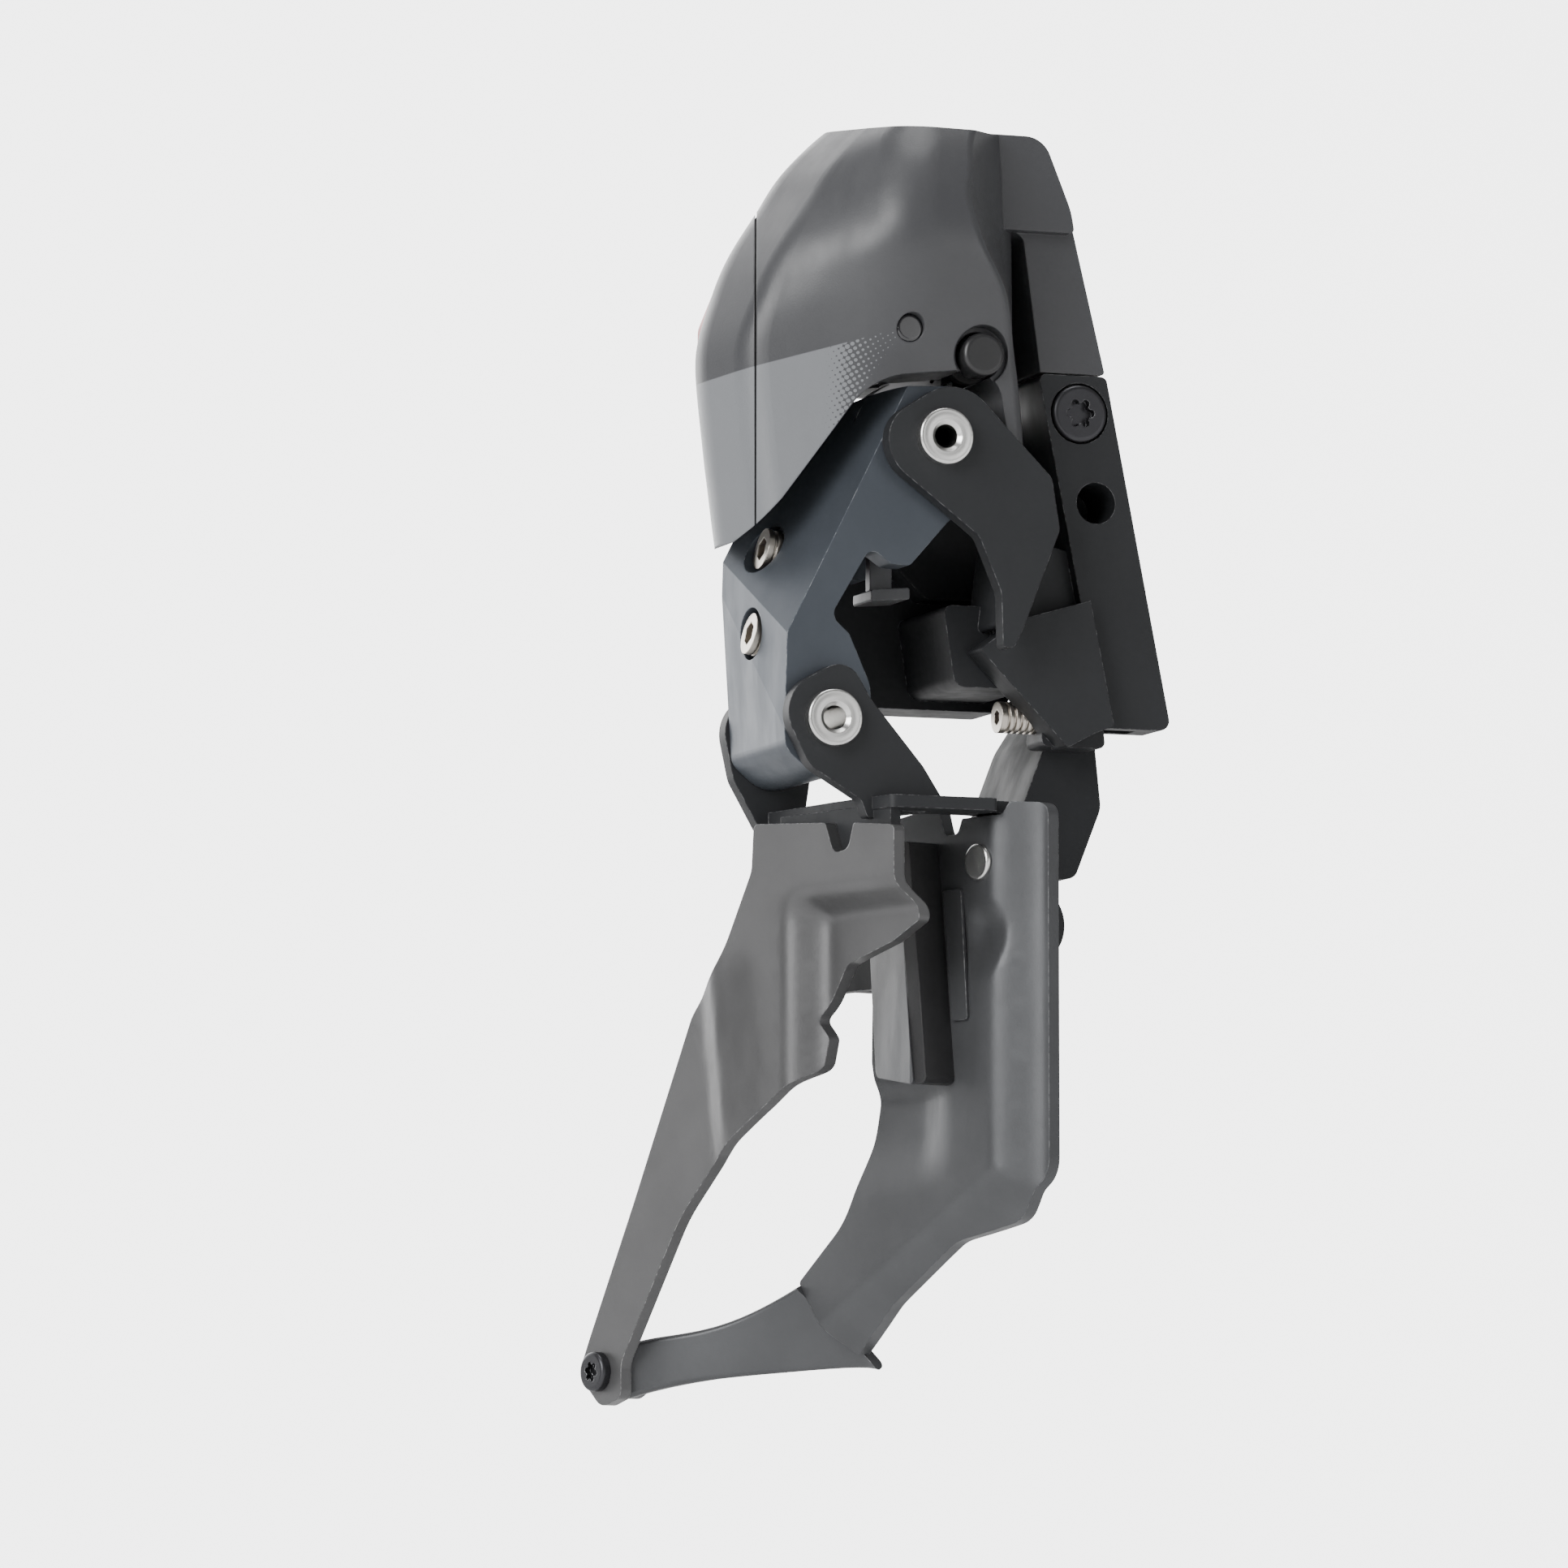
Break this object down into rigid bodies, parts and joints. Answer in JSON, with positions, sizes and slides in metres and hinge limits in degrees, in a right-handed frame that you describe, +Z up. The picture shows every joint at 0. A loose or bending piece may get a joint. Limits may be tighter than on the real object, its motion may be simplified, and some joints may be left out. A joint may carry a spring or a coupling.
{
  "type": "electronic front derailleur",
  "caption": "Electronic bicycle front derailleur: a parallelogram linkage under a motor housing moves a two-plate chain cage.",
  "frame": {"origin": "centre of the frame mount's threaded hole, at its curved seat", "axes": "+X towards the bicycle frame, +Y to the bicycle's rear, +Z up"},
  "size_m": [0.0605, 0.0594, 0.1535],
  "materials": {
    "bracket_black": "satin black anodised",
    "link_grey": "satin blue-grey anodised",
    "link_black": "satin black anodised",
    "plate_light": "satin grey anodised",
    "plate_dark": "satin dark grey anodised",
    "pivot_steel": "bright turned steel",
    "screw_steel": "plated steel, slightly warm",
    "screw_black": "blackened steel",
    "bush_polymer": "smooth bearing polymer",
    "housing_grey": "fine-grained moulded shell",
    "cover_grey": "fine-grained moulded cover",
    "insert_grey": "smooth moulded wear pad",
    "edge_black": "hard black moulding",
    "button_black": "smooth",
    "lens_smoke": "polished smoke lens",
    "seal_rubber": "matt rubber",
    "board_green": "solder mask",
    "motor_steel": "drawn steel can",
    "gearbox_black": "moulded case",
    "contact_brass": "plated brass",
    "tray_black": "moulded tray",
    "block_red": "smooth red moulding",
    "latch_steel": "formed stainless steel",
    "gear_steel": "hobbed steel",
    "gear_brass": "hobbed brass"
  },
  "bodies": {
    "base": {"base_bracket": "bracket_black", "pivot_pin_upper_outer": "pivot_steel", "pivot_pin_upper_inner": "pivot_steel", "motor_housing": "housing_grey", "housing_cover": "cover_grey", "status_lens": "lens_smoke", "button_seal": "seal_rubber", "cover_seal": "seal_rubber", "housing_gasket": "seal_rubber", "battery_tray": "tray_black", "terminal_cover": "block_red", "latch_pin": "latch_steel", "motor_can": "motor_steel", "gearbox": "gearbox_black", "circuit_board": "board_green", "contact_pins": "contact_brass", "bar_screw": "screw_black", "support_screw": "screw_steel"},
    "outer_link": {"outer_link": "link_grey", "stop_lever": "plate_dark", "outer_link_bushes": "bush_polymer", "limit_screws": "screw_steel", "drive_sector": "gear_steel"},
    "inner_link": {"inner_link": "link_black"},
    "cage": {"outer_cage_plate": "plate_light", "inner_cage_plate": "plate_dark", "cage_bracket": "bracket_black", "inner_carrier": "bracket_black", "cage_rivets": "pivot_steel", "chain_guide_insert": "insert_grey", "guide_edge": "edge_black", "guide_clip": "plate_dark", "tail_bridge": "plate_dark", "tail_screw": "screw_black", "pivot_pin_lower_outer": "pivot_steel", "pivot_pin_lower_inner": "pivot_steel"},
    "pinion": {"drive_pinion": "gear_brass"},
    "button": {"mode_button": "button_black"},
    "latch": {"battery_latch": "latch_steel"}
  },
  "joints": [
    {"name": "link_swing", "type": "hinge", "parent": "base", "child": "outer_link", "pos_m": [-0.025, -0.022, 0], "axis": [0, -1, 0], "range_deg": [0, 21]},
    {"name": "inner_link_swing", "type": "hinge", "parent": "base", "child": "inner_link", "pos_m": [0.0035, -0.022, -0.0225], "axis": [0, -1, 0], "range_deg": [0, 21]},
    {"name": "cage_pivot", "type": "hinge", "parent": "outer_link", "child": "cage", "pos_m": [-0.0391, -0.022, -0.0341], "axis": [0, -1, 0], "range_deg": [-21, 0]},
    {"name": "pinion_spin", "type": "hinge", "parent": "base", "child": "pinion", "pos_m": [-0.02708, -0.0124, 0.01182], "axis": [0, -1, 0], "range_deg": [-63, 0]},
    {"name": "button_press", "type": "slide", "parent": "base", "child": "button", "axis": [0, 1, 0], "range_m": [0, 0.0006], "stiffness_N_per_m": 1500},
    {"name": "latch_hinge", "type": "hinge", "parent": "base", "child": "latch", "pos_m": [-0.0196, 0.0126, 0.0358], "axis": [1, 0, 0], "range_deg": [0, 100]}
  ],
  "couplings": [
    {"joint": "inner_link_swing", "follows": "link_swing", "ratio": 1},
    {"joint": "cage_pivot", "follows": "link_swing", "ratio": -1},
    {"joint": "pinion_spin", "follows": "link_swing", "ratio": -3}
  ]
}
